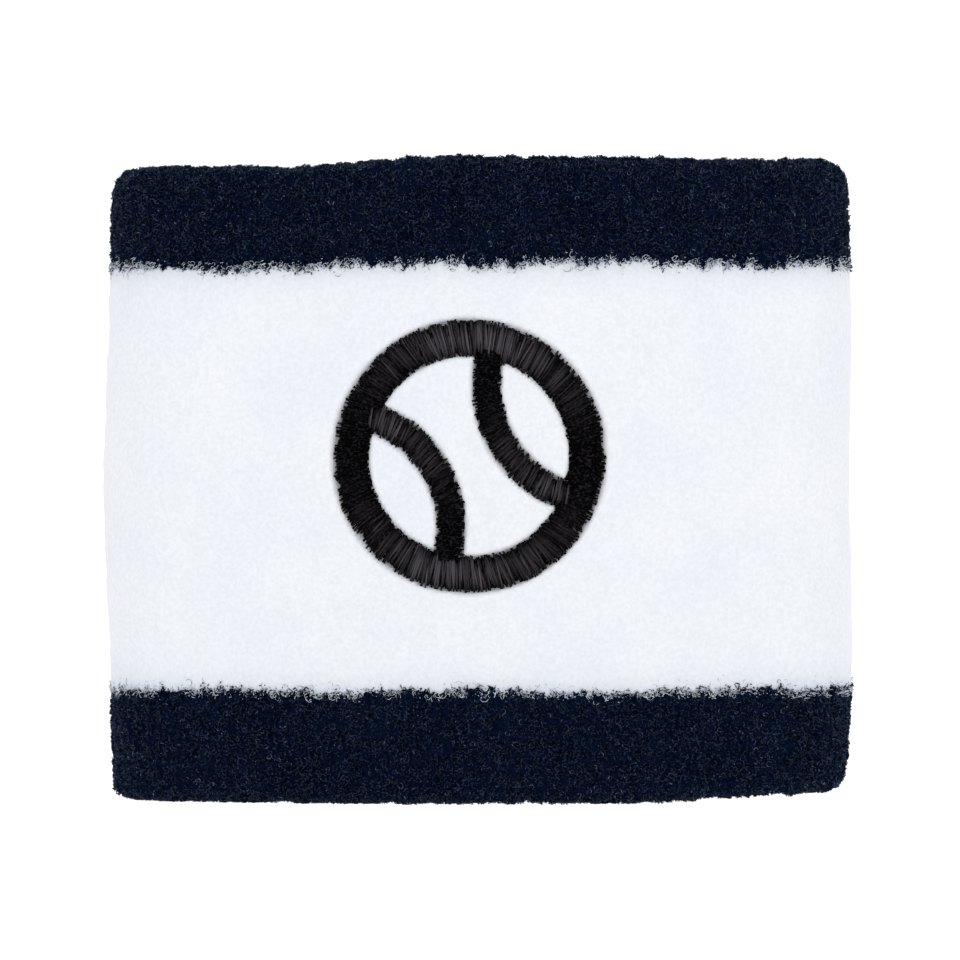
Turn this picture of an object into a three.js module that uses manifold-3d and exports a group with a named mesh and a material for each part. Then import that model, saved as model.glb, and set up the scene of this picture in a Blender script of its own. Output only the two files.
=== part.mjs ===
import * as THREE from 'three';
import { mergeVertices } from 'three/addons/utils/BufferGeometryUtils.js';
import Module from 'manifold-3d';

// Sweat wristband: a knitted terry tube turned in on itself, so that it is two plies thick, with its
// raw edges overlocked together halfway up the inside. A navy band runs over each rim, the panel between
// them is white, and a black ball is embroidered on the front.
// Millimetres. +Z runs up the tube and the front faces -Y. The origin is under the middle of the band,
// on the surface that it stands on. Depth is measured inwards from the outer pile, square to the wall.

// The band as it stands, relaxed
const bandWidth = 74.6;
const bandHeight = 64;
const bandThickness = 27;
const creaseRadius = 2; // inside the wrist opening, at its two ends

// Plies
const gap = 0.3; // between pieces that touch
const pileDepth = 1.5;
const groundDepth = 0.6;
const foldRadius = 0.2; // inside the ground knit, where it turns over at a rim

// Colour bands
const topBand = 10.3;
const bottomBand = 11.3;
const turnIn = 8; // how far the navy pile runs down the inside

// Elastic thread, laid in behind the ground knit
const elasticDiameter = 0.3;
const elasticPitch = 8;
const elasticMargin = 5; // from a rim to the first turn
const elasticSeamMargin = 4; // from the closing seam to the nearest turn

// Closing seam
const seamWidth = 3.6;
const seamThread = 0.3;
const seamStitchLength = 3.2;
const looperReach = 1.1; // above and below the middle of the seam

// Embroidered ball
const emblemShift = -1.1; // along the front wall
const emblemRise = 1.8; // above the middle of the white panel
const emblemTilt = THREE.MathUtils.degToRad(-28);
const emblemDepth = 0.9;
const outlineRadius = 11.7; // to the middle of the stitched ring
const outlineWidth = 3.6;
const ballSeamRadius = 11.5;
const ballSeamOffset = 15; // from the ball's middle to the middle of the arc
const ballSeamWidth = 2.8;
const bobbinWidth = 1.1;
const bobbinDepth = 0.25;
const backingMargin = 2.5;
const backingDepth = 0.25;

// Care label, caught in the closing seam at the back
const labelWidth = 16;
const labelLength = 9.5;
const labelThickness = 0.6;
const labelDrop = 2.2; // from the middle of the seam to the label's top edge

// Facets
const endSteps = 8;
const wallSteps = 6;
const rimSteps = 4;
const groundRimSteps = 2;
const threadSides = 4;
const emblemSteps = 36;
const emblemFlat = 5; // longest flat across the bowed wall

// Depths through the wall, from the outer pile to the inner one
const groundFace = pileDepth + gap;
const groundBack = groundFace + groundDepth;
const elasticDepth = groundBack + gap + elasticDiameter / 2;
const backingFace = groundBack + gap + elasticDiameter + gap;
const bobbinFace = backingFace + backingDepth + gap;
const innerElasticDepth = bobbinFace + bobbinDepth + gap + elasticDiameter / 2;
const innerGroundBack = innerElasticDepth + elasticDiameter / 2 + gap;
const wallDepth = innerGroundBack + groundDepth + gap + pileDepth;
const rimRadius = foldRadius + groundBack;

// The flattened tube in plan: two bowed walls and two round ends, each meeting the next in a tangent
const endRadius = creaseRadius + wallDepth;
const endCentre = bandWidth / 2 - endRadius;
const swell = bandThickness / 2 - endRadius;
const wallCentre = (endCentre ** 2 - swell ** 2) / (2 * swell);
const wallRadius = bandThickness / 2 + wallCentre;
const endAngle = Math.PI / 2 - Math.atan2(endCentre, wallCentre);
const stations = 2 * (endSteps + wallSteps);
const planArcs = [
  { x: endCentre, y: 0, radius: endRadius, from: -endAngle, to: endAngle, steps: endSteps },
  { x: 0, y: -wallCentre, radius: wallRadius, from: endAngle, to: Math.PI - endAngle, steps: wallSteps },
  { x: -endCentre, y: 0, radius: endRadius, from: Math.PI - endAngle, to: Math.PI + endAngle, steps: endSteps },
  { x: 0, y: wallCentre, radius: wallRadius, from: Math.PI + endAngle, to: 2 * Math.PI - endAngle, steps: wallSteps },
];

const seamHeight = bandHeight / 2;
const seamSlot = seamWidth / 2 + gap;
const emblemHeight = (bottomBand + bandHeight - topBand) / 2 + emblemRise;
const outlineInside = outlineRadius - outlineWidth / 2;

const wasm = await Module();
wasm.setup();

function pointOnArc(arc, share, depth) {
  const angle = THREE.MathUtils.lerp(arc.from, arc.to, share);
  const reach = arc.radius - depth;
  return new THREE.Vector2(arc.x + reach * Math.cos(angle), arc.y + reach * Math.sin(angle));
}

// Plan point at a station, counted in facets round the tube
function planAtStation(station, depth) {
  let left = station % stations;
  for (const arc of planArcs) {
    if (left < arc.steps) return pointOnArc(arc, left / arc.steps, depth);
    left -= arc.steps;
  }
  return pointOnArc(planArcs[0], 0, depth);
}

// Plan point at a share of the way round, measured along the tube at this depth
function planAtShare(share, depth) {
  const lengths = planArcs.map((arc) => (arc.radius - depth) * (arc.to - arc.from));
  let left = (share % 1) * lengths.reduce((sum, length) => sum + length);
  for (const [index, arc] of planArcs.entries()) {
    if (left < lengths[index]) return pointOnArc(arc, left / lengths[index], depth);
    left -= lengths[index];
  }
  return pointOnArc(planArcs[0], 0, depth);
}

function girth(depth) {
  return planArcs.reduce((sum, arc) => sum + (arc.radius - depth) * (arc.to - arc.from), 0);
}

function welded(geometry) {
  geometry.deleteAttribute('normal');
  geometry.deleteAttribute('uv');
  return mergeVertices(geometry, 1e-4);
}

// A round knitted tube of this profile, pressed into the flattened plan. The profile lists [depth, height]
// up the outer face first.
function pressedTube(profile) {
  const closed = [...profile, profile[0]];
  const knitRadius = girth(0) / (2 * Math.PI);
  const section = closed.map(([depth, height]) => new THREE.Vector2(knitRadius - depth, height));
  const tube = new THREE.LatheGeometry(section, stations);
  const spots = tube.attributes.position;
  for (let i = 0; i < spots.count; i++) {
    const [depth, height] = closed[i % closed.length];
    const plan = planAtStation(Math.floor(i / closed.length), depth);
    spots.setXYZ(i, plan.x, plan.y, height);
  }
  return welded(tube);
}

// The line over the top rim at an inset below the pile's surface, from the outer face to the inner one
function overTopRim(inset, steps) {
  const radius = rimRadius - inset;
  const height = bandHeight - rimRadius;
  const quarter = Array.from({ length: steps + 1 }, (_, i) => (Math.PI / 2) * (i / steps));
  const outer = quarter.map((a) => [rimRadius - radius * Math.cos(a), height + radius * Math.sin(a)]);
  const inner = quarter.map((a) => [wallDepth - rimRadius + radius * Math.sin(a), height + radius * Math.cos(a)]);
  return [...outer, ...inner];
}

function upsideDown(line) {
  return line.map(([depth, height]) => [depth, bandHeight - height]).reverse();
}

function rimBand(bandOutside) {
  return [
    [0, bandHeight - bandOutside],
    ...overTopRim(0, rimSteps),
    [wallDepth, bandHeight - turnIn],
    [wallDepth - pileDepth, bandHeight - turnIn],
    ...overTopRim(pileDepth, groundRimSteps).reverse(),
    [pileDepth, bandHeight - bandOutside],
  ];
}

function plainTube(face, back, bottom, top) {
  return pressedTube([[face, bottom], [face, top], [back, top], [back, bottom]]);
}

// One knit, open only along the slot that the closing seam fills
function groundKnit() {
  const slotTop = seamHeight + seamSlot;
  const slotBottom = seamHeight - seamSlot;
  return pressedTube([
    ...upsideDown(overTopRim(groundFace, groundRimSteps)),
    ...overTopRim(groundFace, groundRimSteps),
    [wallDepth - groundFace, slotTop],
    [wallDepth - groundBack, slotTop],
    ...overTopRim(groundBack, groundRimSteps).reverse(),
    ...upsideDown(overTopRim(groundBack, groundRimSteps)).reverse(),
    [wallDepth - groundBack, slotBottom],
    [wallDepth - groundFace, slotBottom],
  ]);
}

function threadSection(diameter) {
  const corners = Array.from({ length: threadSides }, (_, i) => (2 * Math.PI * (i + 0.5)) / threadSides);
  return new THREE.Shape(corners.map((a) => new THREE.Vector2(Math.cos(a), Math.sin(a)).multiplyScalar(diameter / 2)));
}

// A thread through places given by its step number, with one length of tube for each step
class StitchedThread extends THREE.Curve {
  constructor(steps, place) {
    super();
    this.steps = steps;
    this.place = place;
  }

  getPoint(t) {
    const step = Math.min(Math.floor(t * this.steps + 1e-6), this.steps - 1);
    return this.place(step).lerp(this.place(step + 1), t * this.steps - step);
  }

  getPointAt(t) {
    return this.getPoint(t);
  }

  getTangentAt(t, target) {
    return this.getTangent(t, target);
  }
}

function thread(steps, diameter, place) {
  const path = new StitchedThread(steps, place);
  return welded(new THREE.ExtrudeGeometry(threadSection(diameter), { steps, extrudePath: path }));
}

function elasticThread(depth, bottom, top) {
  const turns = Math.round((top - bottom) / elasticPitch);
  const steps = turns * stations;
  return thread(steps, elasticDiameter, (step) => {
    const plan = planAtStation(step, depth);
    return new THREE.Vector3(plan.x, plan.y, THREE.MathUtils.lerp(bottom, top, step / steps));
  });
}

// A thread that goes once round the closing seam, up and down by its reach, with a slit left between its ends
function looperThread(depth) {
  const steps = 2 * Math.round(girth(depth) / seamStitchLength);
  const share = 1 - (gap + seamThread) / girth(depth);
  return thread(steps, seamThread, (step) => {
    const plan = planAtShare((share * step) / steps, depth);
    return new THREE.Vector3(plan.x, plan.y, seamHeight + (step % 2 ? looperReach : -looperReach));
  });
}

// The straight line of stitches below the loopers
function needleThread(depth) {
  const height = seamHeight - looperReach - seamThread - gap;
  return thread(stations - 1, seamThread, (step) => {
    const plan = planAtStation(step, depth);
    return new THREE.Vector3(plan.x, plan.y, height);
  });
}

function solid(geometry) {
  const mesh = new wasm.Mesh({
    numProp: 3,
    vertProperties: new Float32Array(geometry.attributes.position.array),
    triVerts: new Uint32Array(geometry.index.array),
  });
  return new wasm.Manifold(mesh);
}

function geometryOf(body) {
  const mesh = body.getMesh();
  const geometry = new THREE.BufferGeometry();
  geometry.setAttribute('position', new THREE.BufferAttribute(mesh.vertProperties, 3));
  geometry.setIndex(new THREE.BufferAttribute(mesh.triVerts, 1));
  return geometry;
}

// Wraps a piece drawn flat, with Y as its depth, onto the bowed front wall
function ontoFront(geometry) {
  geometry.rotateY(emblemTilt);
  const spots = geometry.attributes.position;
  for (let i = 0; i < spots.count; i++) {
    const angle = (spots.getX(i) + emblemShift) / wallRadius;
    const reach = wallRadius - spots.getY(i);
    const height = spots.getZ(i) + emblemHeight;
    spots.setXYZ(i, reach * Math.sin(angle), wallCentre - reach * Math.cos(angle), height);
  }
  return geometry;
}

function stitchedRing(width, face, back) {
  const inside = outlineRadius - width / 2;
  const outside = outlineRadius + width / 2;
  const corners = [[outside, face], [outside, back], [inside, back], [inside, face], [outside, face]];
  const section = corners.map(([radius, depth]) => new THREE.Vector2(radius, depth));
  return solid(welded(new THREE.LatheGeometry(section, emblemSteps)));
}

function disc(radius, face, back) {
  const cylinder = new THREE.CylinderGeometry(radius, radius, back - face, emblemSteps);
  cylinder.translate(0, (face + back) / 2, 0);
  return solid(welded(cylinder));
}

// One of the ball's two curved seams, side -1 or 1, trimmed to a disc of the given radius
function ballSeam(side, width, face, back, trim) {
  const middle = side > 0 ? Math.PI : 0;
  const half = Math.PI / 3;
  const outline = new THREE.Shape();
  outline.absarc(side * ballSeamOffset, 0, ballSeamRadius + width / 2, middle - half, middle + half, false);
  outline.absarc(side * ballSeamOffset, 0, ballSeamRadius - width / 2, middle + half, middle - half, true);
  const strip = new THREE.ExtrudeGeometry(outline, {
    depth: back - face,
    bevelEnabled: false,
    curveSegments: 10,
  });
  strip.translate(0, 0, -back);
  strip.rotateX(Math.PI / 2);
  return solid(welded(strip)).intersect(disc(trim, face - gap, back + gap));
}

function emblemOutline() {
  return ontoFront(geometryOf(stitchedRing(outlineWidth, 0, emblemDepth)));
}

function emblemSeam(side) {
  return ontoFront(geometryOf(ballSeam(side, ballSeamWidth, 0, emblemDepth, outlineInside - gap)));
}

function bobbinStitches() {
  const back = bobbinFace + bobbinDepth;
  const seams = [-1, 1].map((side) => ballSeam(side, bobbinWidth, bobbinFace, back, outlineRadius));
  const ring = stitchedRing(bobbinWidth, bobbinFace, back);
  return ontoFront(geometryOf(ring.add(seams[0]).add(seams[1])));
}

function backing() {
  const radius = outlineRadius + outlineWidth / 2 + backingMargin;
  const rings = Math.ceil(radius / emblemFlat);
  const back = backingFace + backingDepth;
  const out = Array.from({ length: rings + 1 }, (_, i) => new THREE.Vector2((radius * i) / rings, backingFace));
  const home = out.map(({ x }) => new THREE.Vector2(x, back)).reverse();
  return ontoFront(welded(new THREE.LatheGeometry([...out, ...home], emblemSteps)));
}

// The white pile, pressed down to a thin floor where the embroidery lies
function outerWhiteTerry() {
  const pile = plainTube(0, pileDepth, bottomBand + gap, bandHeight - topBand - gap);
  const proud = -2 * gap;
  const floor = emblemDepth + gap;
  const ring = stitchedRing(outlineWidth + 2 * gap, proud, floor);
  const seams = [-1, 1].map((side) => ballSeam(side, ballSeamWidth + 2 * gap, proud, floor, outlineInside));
  const pocket = ontoFront(geometryOf(ring.add(seams[0]).add(seams[1])));
  return geometryOf(solid(pile).subtract(solid(pocket)));
}

// A woven tape doubled over, hanging with its fold down
function careLabel() {
  const round = labelThickness / 2;
  const side = new THREE.Shape();
  side.moveTo(round, 0);
  side.lineTo(-round, 0);
  side.lineTo(-round, round - labelLength);
  side.absarc(0, round - labelLength, round, Math.PI, 2 * Math.PI, false);
  const tape = new THREE.ExtrudeGeometry(side, { depth: labelWidth, bevelEnabled: false, curveSegments: 2 });
  tape.rotateX(Math.PI / 2);
  tape.rotateZ(Math.PI / 2);
  tape.translate(-labelWidth / 2, 0, 0);
  return welded(tape);
}

function careLabelPlace() {
  const reach = wallRadius - wallDepth;
  const facetSagitta = reach * (1 - Math.cos((Math.PI / 2 - endAngle) / wallSteps));
  const wallAtEdge = Math.sqrt(reach ** 2 - (labelWidth / 2) ** 2) - wallCentre;
  return new THREE.Vector3(0, wallAtEdge - facetSagitta - gap - labelThickness / 2, seamHeight - labelDrop);
}

function cloth(colour, roughness) {
  return new THREE.MeshStandardMaterial({ color: colour, roughness, metalness: 0 });
}

const navyCotton = cloth(0x0a1323, 0.95);
const whiteCotton = cloth(0xf3f5f9, 0.95);
const groundYarn = cloth(0xd9dbde, 0.85);
const elasticYarn = cloth(0xe6e1d2, 0.6);
const overlockYarn = cloth(0xf0f0f2, 0.7);
const blackRayon = cloth(0x0b0b0c, 0.4);
const backingFleece = cloth(0xe4e4e4, 0.9);
const labelSatin = cloth(0xf6f6f4, 0.45);

const group = new THREE.Group();

function addPiece(name, geometry, material) {
  const mesh = new THREE.Mesh(geometry, material);
  mesh.name = name;
  group.add(mesh);
  return mesh;
}

addPiece('elastic_ground_knit', groundKnit(), groundYarn);
addPiece('outer_white_terry', outerWhiteTerry(), whiteCotton);
addPiece('top_navy_terry', pressedTube(rimBand(topBand)), navyCotton);
addPiece('bottom_navy_terry', pressedTube(upsideDown(rimBand(bottomBand))), navyCotton);

const innerFace = wallDepth - pileDepth;
const innerUpper = [seamHeight + seamSlot, bandHeight - turnIn - gap];
const innerLower = [turnIn + gap, seamHeight - seamSlot];
addPiece('inner_upper_white_terry', plainTube(innerFace, wallDepth, ...innerUpper), whiteCotton);
addPiece('inner_lower_white_terry', plainTube(innerFace, wallDepth, ...innerLower), whiteCotton);

const lowTurn = elasticMargin;
const highTurn = bandHeight - elasticMargin;
const belowSeam = seamHeight - elasticSeamMargin;
const aboveSeam = seamHeight + elasticSeamMargin;
addPiece('outer_elastic_thread', elasticThread(elasticDepth, lowTurn, highTurn), elasticYarn);
addPiece('inner_upper_elastic_thread', elasticThread(innerElasticDepth, aboveSeam, highTurn), elasticYarn);
addPiece('inner_lower_elastic_thread', elasticThread(innerElasticDepth, lowTurn, belowSeam), elasticYarn);

const seamBottom = seamHeight - seamWidth / 2;
const seamTop = seamHeight + seamWidth / 2;
const seamOffset = gap + seamThread / 2;
addPiece('closing_seam_edges', plainTube(innerGroundBack, wallDepth, seamBottom, seamTop), groundYarn);
addPiece('overlock_needle_thread', needleThread(wallDepth + seamOffset), overlockYarn);
addPiece('overlock_upper_looper_thread', looperThread(wallDepth + seamOffset), overlockYarn);
addPiece('overlock_lower_looper_thread', looperThread(innerGroundBack - seamOffset), overlockYarn);

addPiece('emblem_ball_outline', emblemOutline(), blackRayon);
addPiece('emblem_ball_seam_left', emblemSeam(-1), blackRayon);
addPiece('emblem_ball_seam_right', emblemSeam(1), blackRayon);
addPiece('emblem_bobbin_thread', bobbinStitches(), overlockYarn);
addPiece('emblem_backing', backing(), backingFleece);

const label = addPiece('care_label', careLabel(), labelSatin);
label.position.copy(careLabelPlace());

export default group;
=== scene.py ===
import math

import bpy
import numpy as np
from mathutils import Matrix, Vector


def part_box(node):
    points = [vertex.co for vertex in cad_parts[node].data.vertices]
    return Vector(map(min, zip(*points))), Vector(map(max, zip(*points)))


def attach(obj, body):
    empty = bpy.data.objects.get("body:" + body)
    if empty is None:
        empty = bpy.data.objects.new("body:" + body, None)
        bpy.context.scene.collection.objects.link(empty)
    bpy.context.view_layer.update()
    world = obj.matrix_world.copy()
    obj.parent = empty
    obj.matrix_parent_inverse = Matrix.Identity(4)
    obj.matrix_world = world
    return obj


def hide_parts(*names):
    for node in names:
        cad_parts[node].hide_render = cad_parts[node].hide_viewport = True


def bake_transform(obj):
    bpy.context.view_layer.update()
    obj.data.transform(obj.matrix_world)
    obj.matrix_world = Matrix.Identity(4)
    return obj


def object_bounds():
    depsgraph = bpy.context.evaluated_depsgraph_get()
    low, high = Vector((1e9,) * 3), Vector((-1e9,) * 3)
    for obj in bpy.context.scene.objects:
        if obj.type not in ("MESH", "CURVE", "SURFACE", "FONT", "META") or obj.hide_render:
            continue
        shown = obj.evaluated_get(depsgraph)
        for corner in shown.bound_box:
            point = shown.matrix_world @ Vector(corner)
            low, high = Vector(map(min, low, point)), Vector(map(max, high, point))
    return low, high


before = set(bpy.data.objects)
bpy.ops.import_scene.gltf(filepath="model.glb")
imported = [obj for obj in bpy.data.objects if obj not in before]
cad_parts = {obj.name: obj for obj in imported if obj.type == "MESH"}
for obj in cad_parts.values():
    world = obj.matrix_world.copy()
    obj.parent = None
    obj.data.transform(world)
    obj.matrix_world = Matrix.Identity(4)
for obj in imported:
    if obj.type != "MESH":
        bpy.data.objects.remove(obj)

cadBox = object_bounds()
mm = 0.001
bpy.ops.object.select_all(action="DESELECT")

# Camera: level and square to the front, on a long lens
cameraSettings = {"distance": 550 * mm, "lens": 205, "height": 32 * mm, "clip": 10 * mm}
bpy.ops.object.camera_add(location=(0, -cameraSettings["distance"], cameraSettings["height"]))
camera = bpy.context.object
camera.rotation_euler = (math.pi / 2, 0, 0)
camera.data.lens = cameraSettings["lens"]
camera.data.clip_start = cameraSettings["clip"]
bpy.context.scene.camera = camera
print("camera set")

# The band's shape, which every piece follows
bandSettings = {
    "pile": 1.5 * mm,  # how deep the terry stands
    "gap": 0.3 * mm,
    "ground": 0.6 * mm,
    "crease": 2.0 * mm,  # radius inside the opening, at its two ends
    "rimHeight": 3.3 * mm,  # how far below the rim the wall starts to round over
    "rimPower": 2.7,  # 2 is an ellipse, more is squarer
    "footPower": 4.2,  # the same for the lower rim, which the band stands on
    "sag": 0.3 * mm,  # how far the soft wall wanders from its plan
    "wave": 0.25 * mm,  # how far the rims rise and dip
    "belly": 0.4 * mm,  # how far the middle stands out past the rims
    "draw": 0.26 * mm,  # how far the whole wall is drawn in by its elastic
    "dip": 0.85 * mm,  # how far the upper rim sinks towards the left
    "rise": 0.75 * mm,  # how far the lower rim lifts at the right
    "tilt": 0.5 * mm,  # how far the left side stands out halfway up, and the right side in
    "tiltAt": 0.49,  # the share of the height where it does so most
    "tiltSpread": 0.17,
    "tuck": 0.75 * mm,  # how far the lower right corner draws in
    "drawFade": 0.9,  # how much less the right side is drawn in
    "footWave": 0.4,  # how much of the wave reaches the lower rim
    "footFade": 8,  # how soon the rise and the tuck end above the lower rim
    "rimPoints": 90,
}
# Where along X each change starts, and the length over which it comes in
sideRamps = {
    "draw": (0, 30 * mm),
    "dip": (2 * mm, 18 * mm),  # towards the left
    "rise": (12 * mm, 20 * mm),
    "tuck": (24 * mm, 10 * mm),
}
bandWidth = cadBox[1].x - cadBox[0].x
bandThickness = cadBox[1].y - cadBox[0].y
bandHeight = cadBox[1].z


def depthOf(node):
    # how far below the front face a CAD piece starts
    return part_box(node)[0].y + bandThickness / 2


def middleHeight(node):
    low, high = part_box(node)
    return (low.z + high.z) / 2


wallDepth = bandWidth / 2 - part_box("inner_upper_white_terry")[1].x + bandSettings["pile"]
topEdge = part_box("top_navy_terry")[0].z  # where navy meets white outside
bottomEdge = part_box("bottom_navy_terry")[1].z
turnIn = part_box("inner_lower_white_terry")[0].z - bandSettings["gap"]  # where navy ends inside
seamHeight = middleHeight("closing_seam_edges")
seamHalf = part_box("closing_seam_edges")[1].z - seamHeight

endRadius = bandSettings["crease"] + wallDepth
endCentre = bandWidth / 2 - endRadius
swell = bandThickness / 2 - endRadius
wallCentre = (endCentre**2 - swell**2) / (2 * swell)
wallRadius = bandThickness / 2 + wallCentre
bowAngle = math.atan2(endCentre, wallCentre)

# Arcs of the plan, from the middle of the front: half a wall, an end, the back, an end, half a wall
arcTurn = np.array([bowAngle, math.pi - 2 * bowAngle, 2 * bowAngle, math.pi - 2 * bowAngle, bowAngle])
arcRadius = np.array([wallRadius, endRadius, wallRadius, endRadius, wallRadius])
arcX = np.array([0, endCentre, 0, -endCentre, 0])
arcY = np.array([wallCentre, 0, -wallCentre, 0, wallCentre])
arcStart = np.concatenate([[0], np.cumsum(arcTurn * arcRadius)])
arcFrom = np.concatenate([[0], np.cumsum(arcTurn)]) - math.pi / 2
girth = arcStart[-1]


def planAt(run, depth):
    # place and outward direction in plan, at a run round the outer face and a depth below it
    run = np.mod(run, girth)
    arc = np.clip(np.searchsorted(arcStart, run, side="right") - 1, 0, len(arcTurn) - 1)
    angle = arcFrom[arc] + (run - arcStart[arc]) / arcRadius[arc]
    reach = arcRadius[arc] - depth
    return arcX[arc] + reach * np.cos(angle), arcY[arc] + reach * np.sin(angle), np.cos(angle), np.sin(angle)


def evenRuns(step):
    count = round(girth / step)
    return np.arange(count) * (girth / count)


def wander(run, height, seed):
    # slow waves that close up round the band, about 1 high
    rng = np.random.default_rng(seed)
    total = 0
    for turns in range(1, 8):
        phase, climb = rng.uniform(0, 2 * math.pi), rng.uniform(-2, 2) * math.pi
        angle = 2 * math.pi * turns * run / girth + climb * height / bandHeight + phase
        total = total + np.sin(angle) / turns**0.6
    return total / 1.8


def smoothStep(value):
    value = np.clip(value, 0, 1)
    return value * value * (3 - 2 * value)


def comesIn(change, x):
    start, length = sideRamps[change]
    return smoothStep((x - start) / length)


def bandPoint(run, depth, height):
    # a place in the cloth, with the wall's own wander and the rims' waves
    x, y, outX, outY = planAt(run, depth)
    share = np.clip(height / bandHeight, 0, 1)
    band = bandSettings
    foot = (1 - share) ** band["footFade"]
    halfway = np.exp(-(((share - band["tiltAt"]) / band["tiltSpread"]) ** 2))
    out = band["sag"] * wander(run, height, seed=3) + band["belly"] * (4 * share * (1 - share) - 0.5)
    out = out - band["draw"] * (1 - band["drawFade"] * comesIn("draw", x))
    out = out - band["tilt"] * x / (bandWidth / 2) * halfway
    out = out - band["tuck"] * comesIn("tuck", x) * foot
    footWave = (1 + wander(run, 0, seed=8)) * band["footWave"] * (1 - share) ** 2
    lift = band["wave"] * (wander(run, 0, seed=5) * share**2 + footWave)
    lift = lift - band["dip"] * comesIn("dip", -x) * share**3 + band["rise"] * comesIn("rise", x) * foot
    return np.stack(np.broadcast_arrays(x + out * outX, y + out * outY, height + lift), axis=-1)


def powered(value, power):
    return np.sign(value) * np.abs(value) ** (2 / power)


def overRim(inset, outerEnd, innerEnd, power=bandSettings["rimPower"]):
    # [depth, height] points from the outer face, over the top rim, to the inner face
    angle = np.linspace(0, math.pi, bandSettings["rimPoints"])
    half = wallDepth / 2 - inset
    depth = wallDepth / 2 - half * powered(np.cos(angle), power)
    rise = (bandSettings["rimHeight"] - inset) * powered(np.sin(angle), power)
    arch = np.stack([depth, bandHeight - bandSettings["rimHeight"] + rise], axis=-1)
    return np.concatenate([[[inset, outerEnd]], arch, [[wallDepth - inset, innerEnd]]])


def upsideDown(line):
    return np.stack([line[:, 0], bandHeight - line[:, 1]], axis=-1)


def alongLine(line):
    return np.concatenate([[0], np.cumsum(np.linalg.norm(np.diff(line, axis=0), axis=1))])


def resampled(line, step):
    lengths = alongLine(line)
    count = max(2, round(lengths[-1] / step) + 1)
    along = np.linspace(0, lengths[-1], count)
    return np.stack([np.interp(along, lengths, line[:, i]) for i in (0, 1)], axis=-1)


def lineNormals(line, flip):
    # outward in [depth, height], for a line that goes over the top rim from outside to inside
    tangent = np.gradient(line, axis=0)
    tangent /= np.linalg.norm(tangent, axis=1)[:, None]
    normal = np.stack([-tangent[:, 1], tangent[:, 0]], axis=-1)
    return -normal if flip else normal


def softNoise(shape, blur, seed):
    # random relief, blurred over that many cells each way, that wraps round, with a spread of 1
    field = np.random.default_rng(seed).standard_normal(shape)
    across, along = np.fft.fftfreq(shape[0])[:, None], np.fft.rfftfreq(shape[1])[None]
    fade = np.exp(-2 * math.pi**2 * ((across * blur[0]) ** 2 + (along * blur[1]) ** 2))
    field = np.fft.irfft2(np.fft.rfft2(field) * fade, s=shape)
    return field / field.std()


# Materials

def linear(hexColour):
    channels = [int(hexColour[i:i + 2], 16) / 255 for i in (1, 3, 5)]
    return (*[c / 12.92 if c < 0.04045 else ((c + 0.055) / 1.055) ** 2.4 for c in channels], 1)


def addNode(material, kind, settings=None, links=None):
    # settings go to the node's own fields or its sockets, links name the sockets that other nodes feed
    node = material.node_tree.nodes.new(kind)
    for name, value in (settings or {}).items():
        if name in node.inputs:
            node.inputs[name].default_value = value
        else:
            setattr(node, name, value)
    for name, source in (links or {}).items():
        material.node_tree.links.new(source, node.inputs[name])
    return node


def ramp(material, source, low, high, lowAt=0.3, highAt=0.7):
    node = addNode(material, "ShaderNodeValToRGB", links={"Fac": source})
    node.color_ramp.elements[0].position = lowAt
    node.color_ramp.elements[1].position = highAt
    node.color_ramp.elements[0].color = linear(low)
    node.color_ramp.elements[1].color = linear(high)
    return node


def setSockets(node, values):
    for name, value in values.items():
        node.inputs[name].default_value = value


def clothMaterial(name, look):
    # one cloth or thread: two colours in grains of one size, over slow patches, with fibre bump
    material = bpy.data.materials.new(name)
    material.use_nodes = True
    shader = material.node_tree.nodes["Principled BSDF"]
    setSockets(shader, {
        "Roughness": look["roughness"], "Specular IOR Level": look.get("specular", 0.3),
        "Sheen Weight": look.get("sheen", 0), "Sheen Roughness": look.get("sheenRoughness", 0.5),
        "Sheen Tint": linear(look.get("sheenTint", "#ffffff")),
    })
    place = addNode(material, "ShaderNodeTexCoord").outputs["Object"]
    noise = "ShaderNodeTexNoise"
    grain = addNode(material, noise, {"Scale": 1 / look["grain"], "Detail": 3}, {"Vector": place})
    tone = ramp(material, grain.outputs["Fac"], look["dark"], look["light"], *look.get("split", (0.35, 0.65)))
    patch = addNode(material, noise, {"Scale": 1 / look["patch"], "Detail": 2}, {"Vector": place})
    patchTone = ramp(material, patch.outputs["Fac"], look.get("patchTone", "#e8e8e8"), "#ffffff")
    mix = addNode(material, "ShaderNodeMix", {"data_type": "RGBA", "blend_type": "MULTIPLY", "Factor": 1},
                  {"A": tone.outputs["Color"], "B": patchTone.outputs["Color"]})
    colour = mix.outputs["Result"]
    # a third colour, painted shade or painted highlight, mixed in by the points' shade attribute
    if "shade" in look:
        shade = addNode(material, "ShaderNodeAttribute", {"attribute_name": "shade"})
        tint = addNode(material, "ShaderNodeMix", {"data_type": "RGBA", "B": linear(look["shade"])},
                       {"Factor": shade.outputs["Fac"], "A": colour})
        colour = tint.outputs["Result"]
    material.node_tree.links.new(colour, shader.inputs["Base Color"])
    fibre = addNode(material, noise, {"Scale": 1 / look["fibre"], "Detail": 4}, {"Vector": place})
    bump = addNode(material, "ShaderNodeBump", {"Strength": look["bump"], "Distance": look["fibre"] / 2},
                   {"Height": fibre.outputs["Fac"]})
    material.node_tree.links.new(bump.outputs["Normal"], shader.inputs["Normal"])
    return material


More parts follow.
